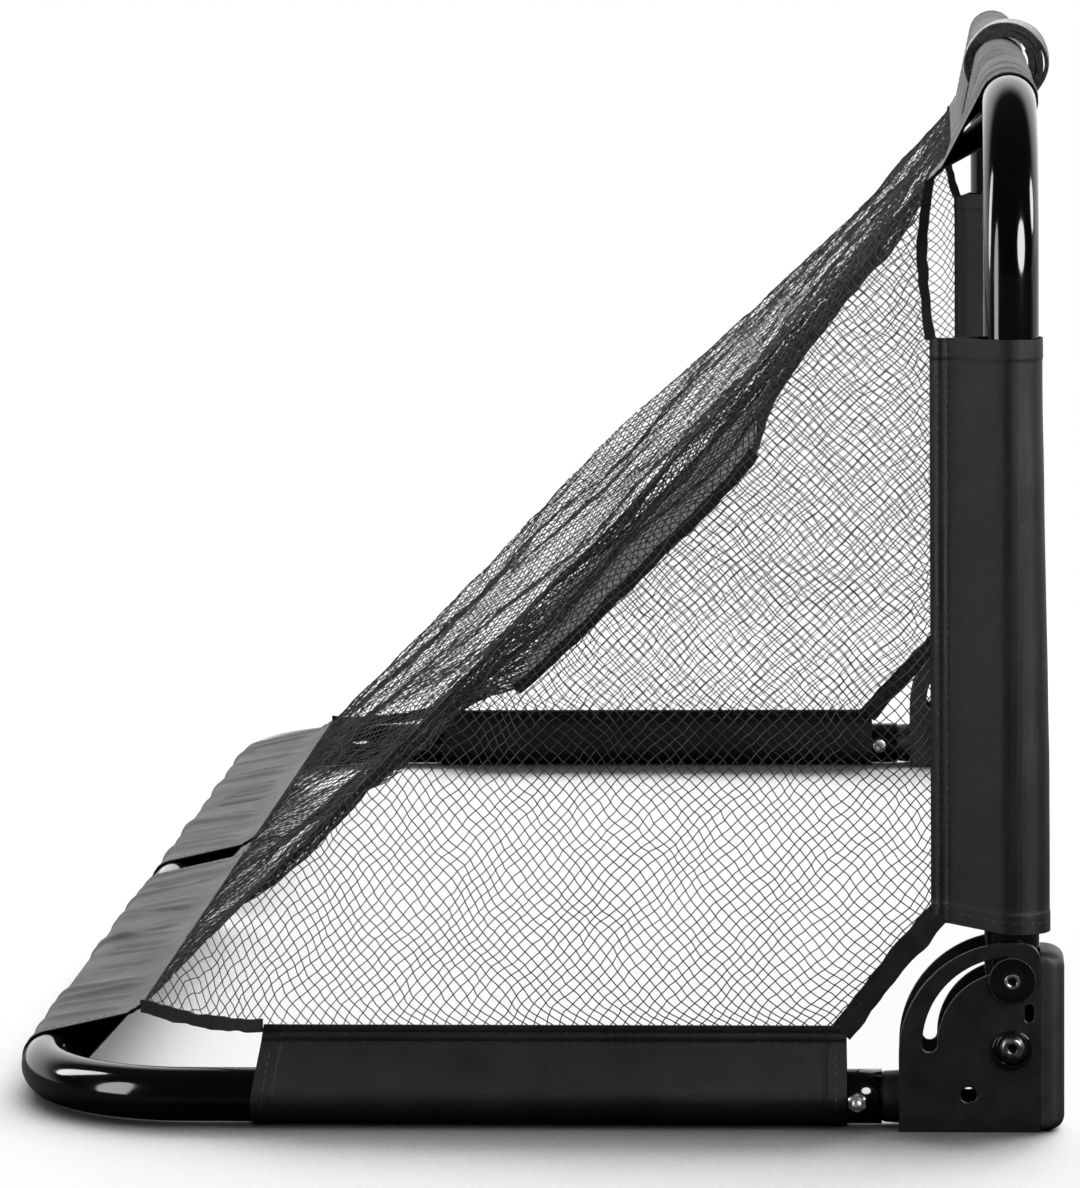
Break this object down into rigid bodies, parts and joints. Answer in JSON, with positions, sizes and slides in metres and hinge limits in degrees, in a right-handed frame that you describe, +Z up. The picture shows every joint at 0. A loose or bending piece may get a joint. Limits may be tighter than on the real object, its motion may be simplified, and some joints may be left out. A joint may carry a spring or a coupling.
{
  "type": "folding hockey goal net",
  "caption": "Folding mini hockey goal: bent steel tube frame hinged on a U-shaped base, fabric sleeves and a black mesh net.",
  "frame": {"origin": "on the floor, in the middle of the goal's box", "axes": "+X to the right post seen from the front, +Y to the back, +Z up; the mouth faces -Y"},
  "size_m": [1.3986, 0.6308, 0.6249],
  "materials": {
    "tube_paint": "gloss",
    "bracket_paint": "satin",
    "bumper_rubber": "satin",
    "bolt_steel": "satin",
    "bright_steel": "gloss",
    "zinc_steel": "satin",
    "black_nylon": "gloss",
    "gloss_black": "gloss",
    "white_nylon": "matte",
    "sleeve_fabric": "coated weave",
    "net_cord": "knotless mesh",
    "binding_tape": "woven tape",
    "patch_fabric": "coated weave",
    "strap_fabric": "hook and loop"
  },
  "bodies": {
    "base": {"base_frame": "tube_paint", "hinge_bracket_left": "bracket_paint", "hinge_bracket_right": "bracket_paint", "bumper_left": "bumper_rubber", "bumper_right": "bumper_rubber", "pivot_bolt_left": "bolt_steel", "pivot_bolt_right": "bolt_steel", "pivot_collar_left": "black_nylon", "pivot_collar_right": "black_nylon", "pivot_ring_left": "black_nylon", "pivot_ring_right": "black_nylon", "pivot_washers_left": "white_nylon", "pivot_washers_right": "white_nylon", "pivot_nut_left": "zinc_steel", "pivot_nut_right": "zinc_steel", "joint_screw_left": "zinc_steel", "joint_screw_right": "zinc_steel", "joint_nut_left": "zinc_steel", "joint_nut_right": "zinc_steel", "side_sleeve_left": "sleeve_fabric", "side_sleeve_right": "sleeve_fabric", "back_sleeve_left": "sleeve_fabric", "back_sleeve_right": "sleeve_fabric", "side_net_left": "net_cord", "side_net_right": "net_cord", "back_net": "net_cord", "hinge_tape_left": "binding_tape", "hinge_tape_right": "binding_tape", "post_tape_left": "binding_tape", "post_tape_right": "binding_tape", "corner_tape_left": "binding_tape", "corner_tape_right": "binding_tape", "net_patch": "patch_fabric"},
    "upright": {"upright_frame": "tube_paint", "guide_pin_left": "zinc_steel", "guide_pin_right": "zinc_steel", "post_plug_left": "black_nylon", "post_plug_right": "black_nylon", "crossbar_sleeve_left": "sleeve_fabric", "crossbar_sleeve_right": "sleeve_fabric", "post_sleeve_left": "sleeve_fabric", "post_sleeve_right": "sleeve_fabric", "closing_strap": "strap_fabric"},
    "lock_left": {"lock_disc_left": "gloss_black", "lock_screw_left": "bright_steel"},
    "lock_right": {"lock_disc_right": "gloss_black", "lock_screw_right": "bright_steel"}
  },
  "joints": [
    {"name": "fold", "type": "hinge", "parent": "base", "child": "upright", "pos_m": [0, -0.2846, 0.0515], "axis": [-1, 0, 0], "range_deg": [0, 90], "deforming": ["side_net_left", "side_net_right", "back_net", "hinge_tape_left", "hinge_tape_right", "post_tape_left", "post_tape_right", "corner_tape_left", "corner_tape_right", "net_patch", "post_sleeve_left", "post_sleeve_right", "side_sleeve_left", "side_sleeve_right", "back_sleeve_left", "back_sleeve_right"]},
    {"name": "lock_left_out", "type": "slide", "parent": "base", "child": "lock_left", "axis": [-1, 0, 0], "range_m": [0, 0.012]},
    {"name": "lock_right_out", "type": "slide", "parent": "base", "child": "lock_right", "axis": [1, 0, 0], "range_m": [0, 0.012]}
  ]
}
